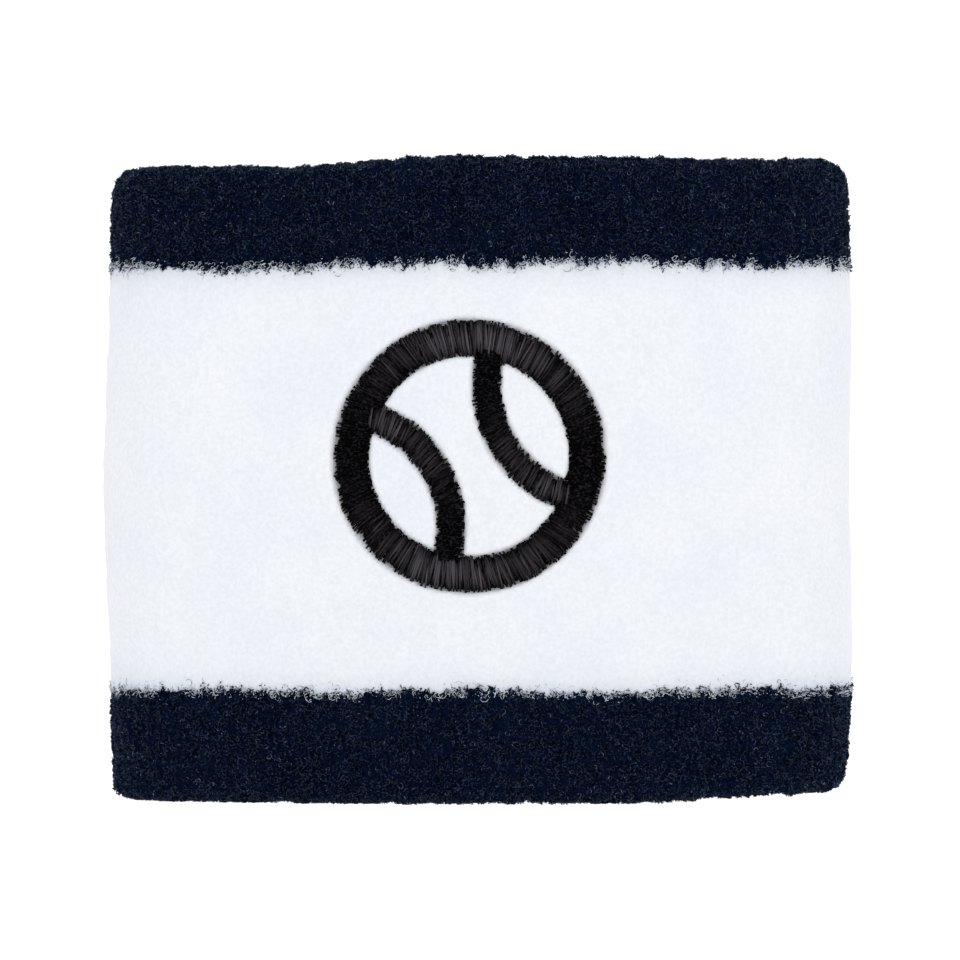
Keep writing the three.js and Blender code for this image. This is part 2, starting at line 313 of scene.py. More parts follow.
navyTerry = clothMaterial("navyCottonTerry", {
    # reactive-dyed cotton, seen down between the loops: painted nearly black as the shade of the hollows,
    # matt
    "dark": "#020611", "light": "#07132a", "roughness": 0.95,
    "grain": 0.35 * mm, "patch": 6 * mm, "patchTone": "#c8ccd4", "fibre": 0.12 * mm, "bump": 0.6,
    "specular": 0.01,
})
navyLoop = clothMaterial("navyCottonLoops", {
    # the same yarn at the tips of its loops, painted lighter as its lit copy, where single fibres catch the
    # light
    "dark": "#040e20", "light": "#36475f", "split": (0.42, 0.72), "roughness": 0.8,
    "sheen": 0.25, "sheenRoughness": 0.35, "sheenTint": "#8ea3c8",
    "grain": 0.22 * mm, "patch": 0.9 * mm, "patchTone": "#6c7686", "fibre": 0.08 * mm, "bump": 0.5,
    "specular": 0.03,
})
navyFluff = clothMaterial("navyCottonFluff", {
    # single dyed fibres that stand clear of the loops: thin, crisp, painted paler as a lit copy of the yarn
    "dark": "#16253c", "light": "#7d91ab", "split": (0.5, 0.66), "roughness": 0.7, "sheen": 0.3,
    "sheenTint": "#9fb2d2", "grain": 0.3 * mm, "patch": 4 * mm, "patchTone": "#b4bccb",
    "fibre": 0.08 * mm, "bump": 0.3, "specular": 0.05,
})
whiteGrain = {"grain": 0.4 * mm, "patch": 9 * mm, "patchTone": "#fafbfd", "fibre": 0.15 * mm}
whiteTerry = clothMaterial("whiteCottonTerry", {
    # bleached cotton loops: very even, a little blue in the hollows, greyed beside the navy by a painted
    # shade
    **whiteGrain, "dark": "#d2d4d8", "light": "#d9dbdf", "shade": "#8696ab",
    "roughness": 0.95, "sheen": 0.1, "bump": 0.2, "specular": 0.1,
})
whiteFluff = clothMaterial("whiteCottonFluff", {
    # single bleached fibres: a lit copy of the white cotton, painted brighter, so they glow where they lie
    # over the navy
    **whiteGrain, "dark": "#aebdd2", "light": "#f2f7fe",
    "roughness": 0.8, "sheen": 0.6, "bump": 0.1, "specular": 0.2,
})
blackThread = clothMaterial("blackRayonThread", {
    # trilobal rayon: black across the light, with a painted highlight of silky grey where the stitches run up
    # and down
    "dark": "#010101", "light": "#2b282d", "split": (0.5, 0.78), "shade": "#4c484e", "roughness": 0.4,
    "grain": 0.25 * mm, "patch": 4 * mm, "fibre": 0.08 * mm,
    "bump": 0.35, "specular": 0.015,
})
groundYarn = clothMaterial("nylonGroundYarn", {
    # textured nylon over elastane: slightly grey and slightly shiny
    "dark": "#cfd1d4", "light": "#e3e5e8", "roughness": 0.6, "sheen": 0.1,
    "grain": 0.5 * mm, "patch": 5 * mm, "fibre": 0.2 * mm, "bump": 0.5,
})
overlockYarn = clothMaterial("polyesterOverlockYarn", {
    # spun polyester: white, soft sheen
    "dark": "#dfe1e6", "light": "#f2f3f6", "roughness": 0.55, "sheen": 0.2,
    "grain": 0.3 * mm, "patch": 4 * mm, "fibre": 0.08 * mm, "bump": 0.4,
})
elasticYarn = clothMaterial("coveredElastic", {
    # natural rubber core with a thin cover: creamy, smooth
    "dark": "#cfc8b4", "light": "#e2dccb", "roughness": 0.45, "sheen": 0.05,
    "grain": 0.4 * mm, "patch": 5 * mm, "fibre": 0.15 * mm, "bump": 0.25,
})
backingFleece = clothMaterial("tearAwayBacking", {
    # bonded fibre fleece: off-white, flat
    "dark": "#d6d6d4", "light": "#ebebea", "roughness": 0.9, "sheen": 0.1,
    "grain": 0.8 * mm, "patch": 5 * mm, "fibre": 0.2 * mm, "bump": 0.5,
})
print("materials made")


# Sheets and shells

def shaded(mesh, shade):
    # how much of its material's third colour each point takes: a painted shade on the white terry, a painted
    # highlight on the thread
    mesh.attributes.new("shade", "FLOAT", "POINT").data.foreach_set("value", shade.ravel().astype(np.float32))


def editAll():
    bpy.ops.object.mode_set(mode="EDIT")
    bpy.ops.mesh.select_all(action="SELECT")


def leaveEdit():
    bpy.ops.object.mode_set(mode="OBJECT")


def wrappedGrid(name, places, closed=True, shade=None):
    # a flat grid laid over the places, an array of rows x columns x 3, and joined to itself if it closes
    rows, columns = places.shape[:2]
    order = np.ix_(np.arange(rows + closed) % rows, np.arange(columns + closed) % columns)
    across, along = columns + closed - 1, rows + closed - 1
    bpy.ops.mesh.primitive_grid_add(x_subdivisions=across, y_subdivisions=along, size=1)
    piece = bpy.context.object
    piece.name = piece.data.name = name
    piece.data.vertices.foreach_set("co", places[order].reshape(-1).astype(np.float32))
    if shade is not None:
        shaded(piece.data, shade[order])
    editAll()
    bpy.ops.mesh.remove_doubles(threshold=0.0001 * mm)
    leaveEdit()
    return piece


def selectOnly(piece):
    bpy.ops.object.select_all(action="DESELECT")
    piece.select_set(True)
    bpy.context.view_layer.objects.active = piece


def finished(piece, material, slot, body, *nodes):
    selectOnly(piece)
    bpy.ops.object.shade_smooth()
    piece.data.materials.clear()
    piece.data.materials.append(material)
    if body:
        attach(piece, body)
    if nodes:
        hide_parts(*nodes)
    piece.select_set(False)
    return piece


lumpSettings = {
    "cell": 0.25 * mm, "high": 0.12 * mm,
    "wide": 0.42 * mm, "tall": 1.2,  # times its width
    "length": 40 * mm,  # of cloth, before the lumps repeat
    "wale": 1.05 * mm, "waleHigh": 0.06 * mm,  # columns of loops
    "course": 1.25 * mm, "courseHigh": 0.06 * mm,  # rows of loops
}
lumpShape = (round(girth / lumpSettings["cell"]), round(lumpSettings["length"] / lumpSettings["cell"]))
lumpBlur = lumpSettings["wide"] / lumpSettings["cell"]
lumpField = softNoise(lumpShape, (lumpBlur, lumpSettings["tall"] * lumpBlur), seed=33)


def waleAngle(run):
    return math.pi * run * round(girth / lumpSettings["wale"]) / girth


def lumpAt(run, along):
    # the slow relief of the navy pile, shared by its skin and the loops on it
    row = np.mod(run, girth) / girth * lumpShape[0]
    column = along / lumpSettings["cell"]
    row, column = np.broadcast_arrays(row, column)
    r, c = np.floor(row).astype(int), np.floor(column).astype(int)
    total = 0
    for i in (0, 1):
        for j in (0, 1):
            weight = (1 - i + (2 * i - 1) * (row - r)) * (1 - j + (2 * j - 1) * (column - c))
            total = total + weight * lumpField[(r + i) % lumpShape[0], (c + j) % lumpShape[1]]
    wale = np.cos(2 * waleAngle(run))
    course = np.cos(2 * math.pi * along / lumpSettings["course"] + 2 * wander(run, 0, seed=34))
    knit = lumpSettings["waleHigh"] * wale + lumpSettings["courseHigh"] * course
    return lumpSettings["high"] * total + knit


backCoarseness = 8  # times the face's step


def pileShell(name, line, step, highAt, flip):
    # a closed skin of terry: its face follows the line, its coarser back lies a pile's depth below
    runs = evenRuns(step)
    face = resampled(line, step)
    normals = lineNormals(face, flip)
    back = resampled(line, step * backCoarseness)
    back = (back + lineNormals(back, flip) * -bandSettings["pile"])[::-1]
    high = highAt(runs[:, None], face[None], alongLine(face)[None], step)
    skin = face[None] + normals[None] * high[..., None]
    skin = np.concatenate([skin, np.broadcast_to(back[None], (len(runs), *back.shape))], axis=1)
    depth, height = skin[..., 0], skin[..., 1]
    height = height + edgeShift(runs[:, None], depth, height)
    places = bandPoint(runs[:, None], depth, height)
    shade = None
    # painted shade: the outer white face is greyed towards its third colour, most at its boundaries with the
    # navy
    if highAt is whiteHigh:
        end = np.minimum(topEdge + edgeSettings["lean"] - height, height - bottomEdge - edgeSettings["sink"])
        share = paintedShadeSettings["most"] * np.exp(-np.maximum(end, 0) / paintedShadeSettings["reach"])
        shade = np.where(depth < wallDepth / 2, share, 0)
    return wrappedGrid(name, places, shade=shade)


paintedShadeSettings = {"most": 0.34, "reach": 1.1 * mm}  # how grey the painted shade makes the white beside the navy
edgeSettings = {
    "wobble": 0.19 * mm,  # how far the colour boundary wanders
    "tuft": 0.3 * mm,  # how far each column of loops stands past the dip beside it
    "lean": -0.38 * mm,  # how far the pile at the upper boundary leans down
    "sink": -0.2 * mm,  # the same at the lower one
    "reach": 1.2 * mm,  # how far from a boundary the cloth moves with it
    "overlap": 0.1 * mm,  # how far the two piles run into each other
    "meanTuft": 0.6,
}
edgeWaves = ((7, 1.0), (19, 0.7), (47, 0.6), (83, 0.7), (113, 0.5), (191, 0.5), (283, 0.5))  # turns, height
waveSpread = 1.5  # how high they are all together


def edgeWobble(run, seed):
    rng = np.random.default_rng(seed)
    total = 0
    for turns, size in edgeWaves:
        total = total + size * np.sin(2 * math.pi * turns * run / girth + rng.uniform(0, 2 * math.pi))
    tuft = np.abs(np.sin(waleAngle(run) + wander(run, 0, seed + 40)))
    tufts = edgeSettings["tuft"] * (tuft - edgeSettings["meanTuft"])
    return edgeSettings["wobble"] * total / waveSpread + tufts


def edgeShift(run, depth, height):
    # how far the cloth near a colour boundary moves up or down
    outside = smoothStep(1 - depth / (wallDepth / 2))
    total = 0
    for level, share, seed, drop in ((topEdge, outside, 21, edgeSettings["lean"]),
                                     (bottomEdge, outside, 22, edgeSettings["sink"]),
                                     (bandHeight - turnIn, 1 - outside, 23, 0), (turnIn, 1 - outside, 24, 0)):
        fade = np.exp(-(((height - level) / edgeSettings["reach"]) ** 2))
        total = total + share * (edgeWobble(run, seed) + drop) * fade
    return total


# Embroidered ball, laid out in run and height from its own middle
ballSettings = {
    "shift": -1.1 * mm,  # along the front
    "rise": 1.8 * mm,  # above the middle of the white panel
    "tilt": math.radians(28),
    "outline": 11.7 * mm,  # radius to the middle of the ring
    "outlineWidth": 3.6 * mm,
    "seamRadius": 11.5 * mm,
    "seamOffset": 15 * mm,
    "seamWidth": 2.8 * mm,
    "seamOverlap": 0.7 * mm,  # how far the seams run in under the ring
    "underInset": 0.6 * mm,  # how much narrower the underlay is
    "press": 0.95 * mm,  # how far the stitches press the pile down
}
ballHeight = (topEdge + bottomEdge) / 2 + ballSettings["rise"]
tiltCos, tiltSin = math.cos(ballSettings["tilt"]), math.sin(ballSettings["tilt"])


def ballPlace(run, height):
    # run and height, turned into the ball's own upright axes
    run = np.mod(run + girth / 2, girth) - girth / 2 - ballSettings["shift"]
    up = height - ballHeight
    return tiltCos * run + tiltSin * up, tiltCos * up - tiltSin * run


def ballDistance(run, height):
    # distance outside the nearest stitched column, negative under it
    across, up = ballPlace(run, height)
    radius = np.hypot(across, up)
    inside = radius - ballSettings["outline"]
    nearest = np.abs(inside) - ballSettings["outlineWidth"] / 2
    for side in (-1, 1):
        arc = np.abs(np.hypot(across - side * ballSettings["seamOffset"], up) - ballSettings["seamRadius"])
        nearest = np.minimum(nearest, np.maximum(arc - ballSettings["seamWidth"] / 2, inside))
    return nearest


# Terry

navyRelief = {
    "yarn": 0.05 * mm, "yarnBlur": 0.7,  # in steps of the skin
    "loop": 0.06 * mm, "loopWide": 0.22 * mm, "loopTall": 0.26 * mm,
    "sink": 0.12 * mm,  # room for the loops strewn over it
    "tuck": 0.3 * mm, "tuckReach": 0.8 * mm,  # at its two ends
}
whiteRelief = {
    "wale": 0.025 * mm,
    "loop": 0.03 * mm, "loopWide": 0.3 * mm, "loopTall": 0.45 * mm,
    "clump": 0.035 * mm, "clumpWide": 0.8 * mm, "clumpTall": 1.6 * mm,
    "bulge": 0.12 * mm, "bulgeReach": 0.9 * mm,  # beside the stitches
    "pressReach": 0.5 * mm,
    "tuck": 0.2 * mm, "tuckReach": 0.6 * mm,
}


def tucked(along, relief):
    end = np.minimum(along, along.max() - along)
    return relief["tuck"] * smoothStep(0.5 - end / relief["tuckReach"])


def grains(relief, kind, shape, step, seed):
    blur = (relief[kind + "Wide"] / step, relief[kind + "Tall"] / step)
    return relief[kind] * softNoise(shape, blur, seed)


def navyHigh(run, face, along, step):
    # how high the navy pile stands at each point of its face
    relief, shape = navyRelief, (run.shape[0], face.shape[1])
    yarn = relief["yarn"] * softNoise(shape, (relief["yarnBlur"], relief["yarnBlur"]), seed=31)
    high = yarn + grains(relief, "loop", shape, step, seed=32) + lumpAt(run, along)
    return high - relief["sink"] - tucked(along, relief)


def whiteHigh(run, face, along, step):
    # the same for the white pile, pressed down under the ball
    relief, shape = whiteRelief, (run.shape[0], face.shape[1])
    wale = relief["wale"] * np.cos(2 * waleAngle(run))
    high = wale + grains(relief, "loop", shape, step, seed=41) + grains(relief, "clump", shape, step, seed=42)
    if face[0, 0, 0] < wallDepth / 2:
        away = ballDistance(run, face[..., 1])
        bulge = relief["bulge"] * np.exp(-((away / relief["bulgeReach"]) ** 2))
        pressed = (ballSettings["press"] + bulge) * smoothStep(0.5 - away / relief["pressReach"])
        high = high + bulge - pressed - tucked(along, relief)
    return high


overlap = edgeSettings["overlap"]
innerEnd = bandHeight - turnIn - overlap
topLine = overRim(0, topEdge - overlap, innerEnd)
bottomLine = upsideDown(overRim(0, bandHeight - bottomEdge - overlap, innerEnd, bandSettings["footPower"]))
whiteLine = np.array([[0, bottomEdge - overlap], [0, topEdge + overlap]])
innerUpperLine = np.array([[wallDepth, bandHeight - turnIn + overlap], [wallDepth, seamHeight + seamHalf]])
innerLowerLine = np.array([[wallDepth, seamHeight - seamHalf], [wallDepth, turnIn - overlap]])
pileRows = {
    # line, whether it goes under the lower rim, step of the skin, colour, CAD node
    "topNavyPile": (topLine, False, 0.3 * mm, "navy", "top_navy_terry"),
    "bottomNavyPile": (bottomLine, True, 0.3 * mm, "navy", "bottom_navy_terry"),
    "outerWhitePile": (whiteLine, False, 0.33 * mm, "white", "outer_white_terry"),
    "innerUpperWhitePile": (innerUpperLine, False, 0.5 * mm, "white", "inner_upper_white_terry"),
    "innerLowerWhitePile": (innerLowerLine, False, 0.5 * mm, "white", "inner_lower_white_terry"),
}
for name, (line, flip, step, colour, node) in pileRows.items():
    highAt, material = (navyHigh, navyTerry) if colour == "navy" else (whiteHigh, whiteTerry)
    pile = pileShell(name, line, step, highAt, flip)
    finished(pile, material, colour + "_cotton_terry", "band", node)
print("terry knitted")

# Loops of yarn that stand up out of the pile, and loose fibres that lie curled on it

def closeUp():
    # in edit mode: the ends filled, in triangles that face outwards
    bpy.ops.mesh.select_all(action="SELECT")
    bpy.ops.mesh.fill_holes(sides=0)
    bpy.ops.mesh.select_all(action="SELECT")
    bpy.ops.mesh.quads_convert_to_tris()
    bpy.ops.mesh.normals_make_consistent(inside=False)
    leaveEdit()


def taken(piece):
    # a template's points and faces, after which the template goes
    points = np.array([vertex.co for vertex in piece.data.vertices])
    faces = np.array([list(face.vertices) for face in piece.data.polygons])
    bpy.data.objects.remove(piece)
    return points, faces


def yarnLoop(name, look):
    # one arch of yarn, spun out of a small ring
    bpy.ops.mesh.primitive_circle_add(vertices=look["sides"], radius=look["yarn"] / 2,
                                      location=(look["span"] / 2, 0, 0))
    loop = bpy.context.object
    loop.name = name
    bpy.ops.object.transform_apply(location=True)
    editAll()
    bpy.ops.mesh.spin(steps=look["steps"], angle=look["turn"], center=(0, 0, 0), axis=(0, 1, 0))
    closeUp()
    return taken(loop)


def surfaceSpots(line, flip, spacing, seed, lumpy=True):
    # jittered spots all over a face of cloth: place, outward, round the band, and across that
    rng = np.random.default_rng(seed)
    face = resampled(line, spacing)
    normals = lineNormals(face, flip)
    runs = evenRuns(spacing)
    shape = (len(runs), len(face))
    run = runs[:, None] + rng.uniform(-0.5, 0.5, shape) * spacing
    slide = rng.uniform(-0.5, 0.5, shape) * spacing
    lump = lumpAt(run, alongLine(face)[None] + slide) if lumpy else 0
    depth = face[:, 0] + slide * normals[:, 1] + lump * normals[:, 0]
    height = face[:, 1] - slide * normals[:, 0] + lump * normals[:, 1]
    height = height + edgeShift(run, depth, height)
    return spotFrames(run.ravel(), depth.ravel(), height.ravel(), np.tile(normals, (len(runs), 1)))


def spotFrames(run, depth, height, normal):
    outX, outY = planAt(run, depth)[2:]
    place = bandPoint(run, depth, height)
    outward = np.stack([-normal[:, 0] * outX, -normal[:, 0] * outY, normal[:, 1]], axis=-1)
    onward = np.stack([-outY, outX, np.zeros_like(outX)], axis=-1)
    return {"run": run, "height": height, "depth": depth, "place": place,
            "outward": outward, "onward": onward, "across": np.cross(outward, onward)}


def keptSpots(spots, keep):
    return {name: values[keep] for name, values in spots.items()}


def copiesMesh(name, places, faces):
    # one piece of many copies, from their points, an array of copies x points x 3
    offsets = np.arange(len(places))[:, None, None] * places.shape[1]
    mesh = bpy.data.meshes.new(name)
    mesh.from_pydata(places.reshape(-1, 3).tolist(), [], (faces[None] + offsets).reshape(-1, 3).tolist())
    piece = bpy.data.objects.new(name, mesh)
    bpy.context.collection.objects.link(piece)
    return piece


def strew(name, kind, spots, seed):
    # one piece of many copies, each turned, leaned and sized by chance
    look, material, slot = strewnKinds[kind]
    points, faces = templates[kind]
    rng = np.random.default_rng(seed)
    count = len(spots["run"])
    turn = rng.uniform(0, 2 * math.pi, count)
    lean = rng.uniform(-look["lean"], look["lean"], count)
    size = rng.uniform(*look["size"], count)
    sink = rng.uniform(*look["sink"], count)
    ahead = np.cos(turn)[:, None] * spots["onward"] + np.sin(turn)[:, None] * spots["across"]
    aside = np.cross(spots["outward"], ahead)
    up = np.cos(lean)[:, None] * spots["outward"] + np.sin(lean)[:, None] * aside
    aside = np.cross(up, ahead)
    base = spots["place"] - sink[:, None] * spots["outward"]
    local = points[None] * size[:, None, None]
    places = base[:, None] + local[..., 0:1] * ahead[:, None] + local[..., 1:2] * aside[:, None]
    piece = copiesMesh(name, places + local[..., 2:3] * up[:, None], faces)
    finished(piece, material, slot, "band")


loopLook = {
    "sides": 3, "steps": 2, "turn": -math.radians(200), "yarn": 0.13 * mm, "span": 0.4 * mm,
    "lean": math.radians(65), "size": (0.7, 1.4), "sink": (-0.06 * mm, 0.06 * mm),
}
curlLook = {
    "sides": 3, "steps": 4, "turn": -math.radians(230), "yarn": 0.055 * mm, "span": 0.42 * mm,
    "lean": math.radians(80), "size": (0.5, 1.4), "sink": (-0.05 * mm, 0.12 * mm),
}
whiskerLook = {**curlLook, "yarn": 0.042 * mm, "span": 0.55 * mm, "size": (0.6, 1.5)}
fibreLook = {**curlLook, "turn": -math.radians(170), "yarn": 0.028 * mm, "span": 0.6 * mm,
             "sink": (-0.15 * mm, 0.05 * mm)}
whiteLoopLook = {**loopLook, "yarn": 0.17 * mm, "span": 0.5 * mm}
strewnKinds = {
    "navyLoop": (loopLook, navyLoop, "navy_cotton_terry"),
    "navyCurl": (curlLook, navyFluff, "navy_cotton_terry"),
    "navyFibre": (fibreLook, navyLoop, "navy_cotton_terry"),
    "whiteLoop": (whiteLoopLook, whiteFluff, "white_cotton_terry"),
    "whiteWhisker": (whiskerLook, whiteFluff, "white_cotton_terry"),
}
templates = {kind: yarnLoop(kind, look) for kind, (look, material, slot) in strewnKinds.items()}

navySpacing = {"outside": 0.37 * mm, "inside": 0.75 * mm, "curl": 0.85 * mm}
whiteSpacing = 0.8 * mm
rimEnd = 0.8 * wallDepth  # how far over the rim the dense loops go
insideStart = 0.75 * wallDepth
rimStart = bandHeight - bandSettings["rimHeight"]
for name, line, flip, seed in (("top", topLine, False, 51), ("bottom", bottomLine, True, 52)):
    spots = surfaceSpots(line, flip, navySpacing["outside"], seed)
    level = spots["height"] if name == "top" else bandHeight - spots["height"]
    outside = spots["depth"] < wallDepth / 2
    zones = {"Face": outside & (level < rimStart), "Rim": (level >= rimStart) & (spots["depth"] < rimEnd)}
    for zone, chosen in zones.items():
        strew(name + "Navy" + zone + "Loops", "navyLoop", keptSpots(spots, chosen), seed)
    spots = surfaceSpots(line, flip, navySpacing["inside"], seed + 10)
    strew(name + "NavyInsideLoops", "navyLoop", keptSpots(spots, spots["depth"] > insideStart), seed + 10)
    spots = surfaceSpots(line, flip, navySpacing["curl"], seed + 20)
    strew(name + "NavyCurls", "navyCurl", keptSpots(spots, spots["depth"] < rimEnd), seed + 20)

for name, line, seed in (("innerUpper", innerUpperLine, 62), ("innerLower", innerLowerLine, 63)):
    spots = surfaceSpots(line, False, whiteSpacing, seed, lumpy=False)
    strew(name + "WhiteLoops", "whiteLoop", spots, seed)


def edgeSpots(level, depth, count, spread, seed):
    # spots along a colour boundary, thinning out to one side of it
    rng = np.random.default_rng(seed)
    run = rng.uniform(0, girth, count)
    height = level + np.abs(rng.normal(0, 1, count)) * spread
    depths = np.full(count, depth)
    normal = np.tile([[-1.0, 0.0]] if depth < wallDepth / 2 else [[1.0, 0.0]], (count, 1))
    return spotFrames(run, depths, height + edgeShift(run, depths, height), normal)


edgeLook = {
    "outside": 2500, "inside": 500,  # how many curls lie along a boundary
    "navyShare": 3,  # as many times fewer navy fibres
    "start": 0.1 * mm,  # how far on their own side of the boundary they start
    "whiteReach": 0.33 * mm, "navyReach": 0.45 * mm,
}
edgeRows = {
    # level, depth, which way the navy lies
    "top": (topEdge, 0, 1), "bottom": (bottomEdge, 0, -1),
    "innerUpper": (bandHeight - turnIn, wallDepth, 1), "innerLower": (turnIn, wallDepth, -1),
}
for seed, (name, (level, depth, toNavy)) in enumerate(edgeRows.items(), 71):
    count = edgeLook["inside" if depth else "outside"]
    start = toNavy * edgeLook["start"]
    spots = edgeSpots(level - start, depth, count, toNavy * edgeLook["whiteReach"], seed)
    strew(name + "EdgeWhiteCurls", "whiteWhisker", spots, seed)
    count = count // edgeLook["navyShare"]
    spots = edgeSpots(level + start, depth, count, -toNavy * edgeLook["navyReach"], seed + 10)
    strew(name + "EdgeNavyFibres", "navyFibre", spots, seed + 10)
print("loops strewn")


# Satin stitches

def satinStitch(look):
    # one stitch along X, from -1 to 1, with a section of radius 1, closed at its ends
    bpy.ops.mesh.primitive_circle_add(vertices=look["sides"], radius=1, fill_type="NGON",
                                      location=(-1, 0, 0), rotation=(0, math.pi / 2, 0))
    stitch = bpy.context.object
    bpy.ops.object.transform_apply(location=True, rotation=True)
    editAll()
    for part in range(look["parts"]):
        bpy.ops.mesh.extrude_region_move(TRANSFORM_OT_translate={"value": (2 / look["parts"], 0, 0)})
    closeUp()
    return taken(stitch)


def stitched(name, template, starts, ends, look):
    # stitches from start to end, in the ball's own axes, arched over the cloth
    points, faces = template
    middle, half = (starts + ends) / 2, (ends - starts) / 2
    length = np.linalg.norm(half, axis=1)
    aside = np.stack([-half[:, 1], half[:, 0]], axis=-1) / length[:, None]
    along, acrossThread = points[None, :, 0:1], points[None, :, 1:2]
    flat = middle[:, None] + half[:, None] * along + aside[:, None] * acrossThread * look["thread"] / 2
    run = ballSettings["shift"] + tiltCos * flat[..., 0] - tiltSin * flat[..., 1]
    height = ballHeight + tiltSin * flat[..., 0] + tiltCos * flat[..., 1]
    rng = np.random.default_rng(len(starts))
    lift = look["lift"] * rng.standard_normal(len(starts))
    paintedSheen = look["paintedSheen"] * rng.uniform(0, 1, len(starts))
    arch = look["top"] + lift[:, None] - look["drop"] * np.abs(along[..., 0]) ** look["power"]
    out = arch + points[None, :, 2] * look["thread"] / 2
    piece = copiesMesh(name, bandPoint(run, look["depth"] - look["side"] * out, height), faces)
    # painted highlight: each upright stitch takes a share of the thread's grey third colour, most at its
    # middle
    upright = np.abs(tiltSin * half[:, 0] + tiltCos * half[:, 1]) / length
    shaded(piece.data, (paintedSheen * upright**3)[:, None] * np.clip(1 - along[..., 0] ** 2, 0, 1))
    return piece


def raggedEnds(rng, count, group=4, share=0.6):
    # each stitch strays by itself and with the few beside it
    alone = rng.uniform(-share, share, count)
    return alone + share * np.repeat(rng.uniform(-1, 1, count // group + 1), group)[:count]


def onCircle(radius, angle):
    return radius[:, None] * np.stack([np.cos(angle), np.sin(angle)], axis=-1)


def stitchEnds(angle, radius, width, look, seed):
    # start and end of each stitch across a curved column, no two quite alike
    rng = np.random.default_rng(seed)
    slant = (look["slant"] + look["stray"] * rng.standard_normal(len(angle))) / radius
    inner = radius - width / 2 + look["ragged"] * raggedEnds(rng, len(angle))
    outer = radius + width / 2 + look["ragged"] * raggedEnds(rng, len(angle))
    return onCircle(inner, angle - slant / 2), onCircle(outer, angle + slant / 2)


def ringStitches(width, look, seed):
    radius = ballSettings["outline"]
    return stitchEnds(np.arange(0, 2 * math.pi, look["pitch"] / radius), radius, width, look, seed)


def seamStitches(side, width, trim, look, seed):
    radius, offset = ballSettings["seamRadius"], ballSettings["seamOffset"]
    half = math.acos((offset**2 + radius**2 - trim**2) / (2 * offset * radius))
    angle = np.arange(-half, half, look["pitch"] / radius) + (math.pi if side > 0 else 0)
    starts, ends = stitchEnds(angle, radius, width, look, seed)
    middle = np.array([side * offset, 0])
    return starts + middle, ends + middle


satinLook = {
    "sides": 5, "parts": 8, "thread": 0.19 * mm, "pitch": 0.125 * mm,
    "slant": 0.35 * mm, "stray": 0.2 * mm, "ragged": 0.5 * mm,
    "top": 0.22 * mm, "drop": 0.95 * mm, "power": 4.5, "lift": 0.06 * mm,  # its arch
    "depth": 0, "side": 1,  # 1 stands out of the face, -1 in behind it
    "paintedSheen": 1.1,  # how much painted highlight the upright stitches take
}
underLook = {**satinLook, "slant": -0.8 * mm, "thread": 0.5 * mm, "pitch": 0.4 * mm, "top": -0.05 * mm,
             "ragged": 0.1 * mm, "paintedSheen": 0}
bobbinLook = {**satinLook, "parts": 3, "thread": 0.25 * mm, "pitch": 0.45 * mm, "top": -0.12 * mm,
              "drop": 0.1 * mm, "lift": 0, "side": -1, "depth": depthOf("emblem_bobbin_thread"),
              "ragged": 0.1 * mm, "paintedSheen": 0}
bobbinNarrow = 3  # times narrower than the satin on the face
stitch = satinStitch(satinLook)
shortStitch = satinStitch(bobbinLook)
ringWidth, seamWidth = ballSettings["outlineWidth"], ballSettings["seamWidth"]
seamTrim = ballSettings["outline"] - ringWidth / 2 + ballSettings["seamOverlap"]

for name, node, side in (("Outline", "emblem_ball_outline", 0), ("SeamLeft", "emblem_ball_seam_left", -1),
                         ("SeamRight", "emblem_ball_seam_right", 1)):
    for layer, look, shrink, seed in (("Stitches", satinLook, 0, 81),
                                      ("Underlay", underLook, ballSettings["underInset"], 84)):
        if side:
            starts, ends = seamStitches(side, seamWidth - shrink, seamTrim, look, seed + side)
        else:
            starts, ends = ringStitches(ringWidth - shrink, look, seed)
        threads = stitched("ball" + name + layer, stitch, starts, ends, look)
        nodes = [node] if layer == "Stitches" else []
        finished(threads, blackThread, "black_embroidery_thread", "band", *nodes)

starts, ends = ringStitches(ringWidth / bobbinNarrow, bobbinLook, 91)
for side in (-1, 1):
    more = seamStitches(side, seamWidth / bobbinNarrow, ballSettings["outline"], bobbinLook, 91 + side)
    starts, ends = np.concatenate([starts, more[0]]), np.concatenate([ends, more[1]])
bobbin = stitched("ballBobbinStitches", shortStitch, starts, ends, bobbinLook)
finished(bobbin, overlockYarn, "overlock_thread", "band", "emblem_bobbin_thread")
print("ball embroidered")


# Hidden and inner pieces

backingLook = {"round": 72, "rings": 6, "thick": 0.25 * mm}


def backingRound(name, radius, depth):
    # a round of backing, laid behind the stitches
    bpy.ops.mesh.primitive_circle_add(vertices=backingLook["round"], radius=radius, fill_type="NGON")
    piece = bpy.context.object
    piece.name = piece.data.name = name
    editAll()
    for ring in range(backingLook["rings"]):
        bpy.ops.mesh.inset(thickness=radius / (backingLook["rings"] + 1))
    bpy.ops.mesh.select_all(action="SELECT")
    bpy.ops.mesh.extrude_region_move(TRANSFORM_OT_translate={"value": (0, 0, backingLook["thick"])})
    bpy.ops.mesh.select_all(action="SELECT")
    bpy.ops.mesh.normals_make_consistent(inside=False)
    leaveEdit()
    flat = np.array([vertex.co for vertex in piece.data.vertices])
    depths = depth + backingLook["thick"] - flat[:, 2]
    places = bandPoint(flat[:, 0] + ballSettings["shift"], depths, flat[:, 1] + ballHeight)
    piece.data.vertices.foreach_set("co", places.reshape(-1).astype(np.float32))
    piece.data.update()
    return piece


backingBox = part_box("emblem_backing")
backingRadius = (backingBox[1].z - backingBox[0].z) / 2
backing = backingRound("ballBacking", backingRadius, depthOf("emblem_backing"))
finished(backing, backingFleece, "backing_fleece", "band", "emblem_backing")


def runAtShare(share, depth):
    # run round the outer face, at a share of the way round measured at this depth
    lengths = np.concatenate([[0], np.cumsum(arcTurn * (arcRadius - depth))])
    return np.interp(np.mod(share, 1) * lengths[-1], lengths, arcStart)


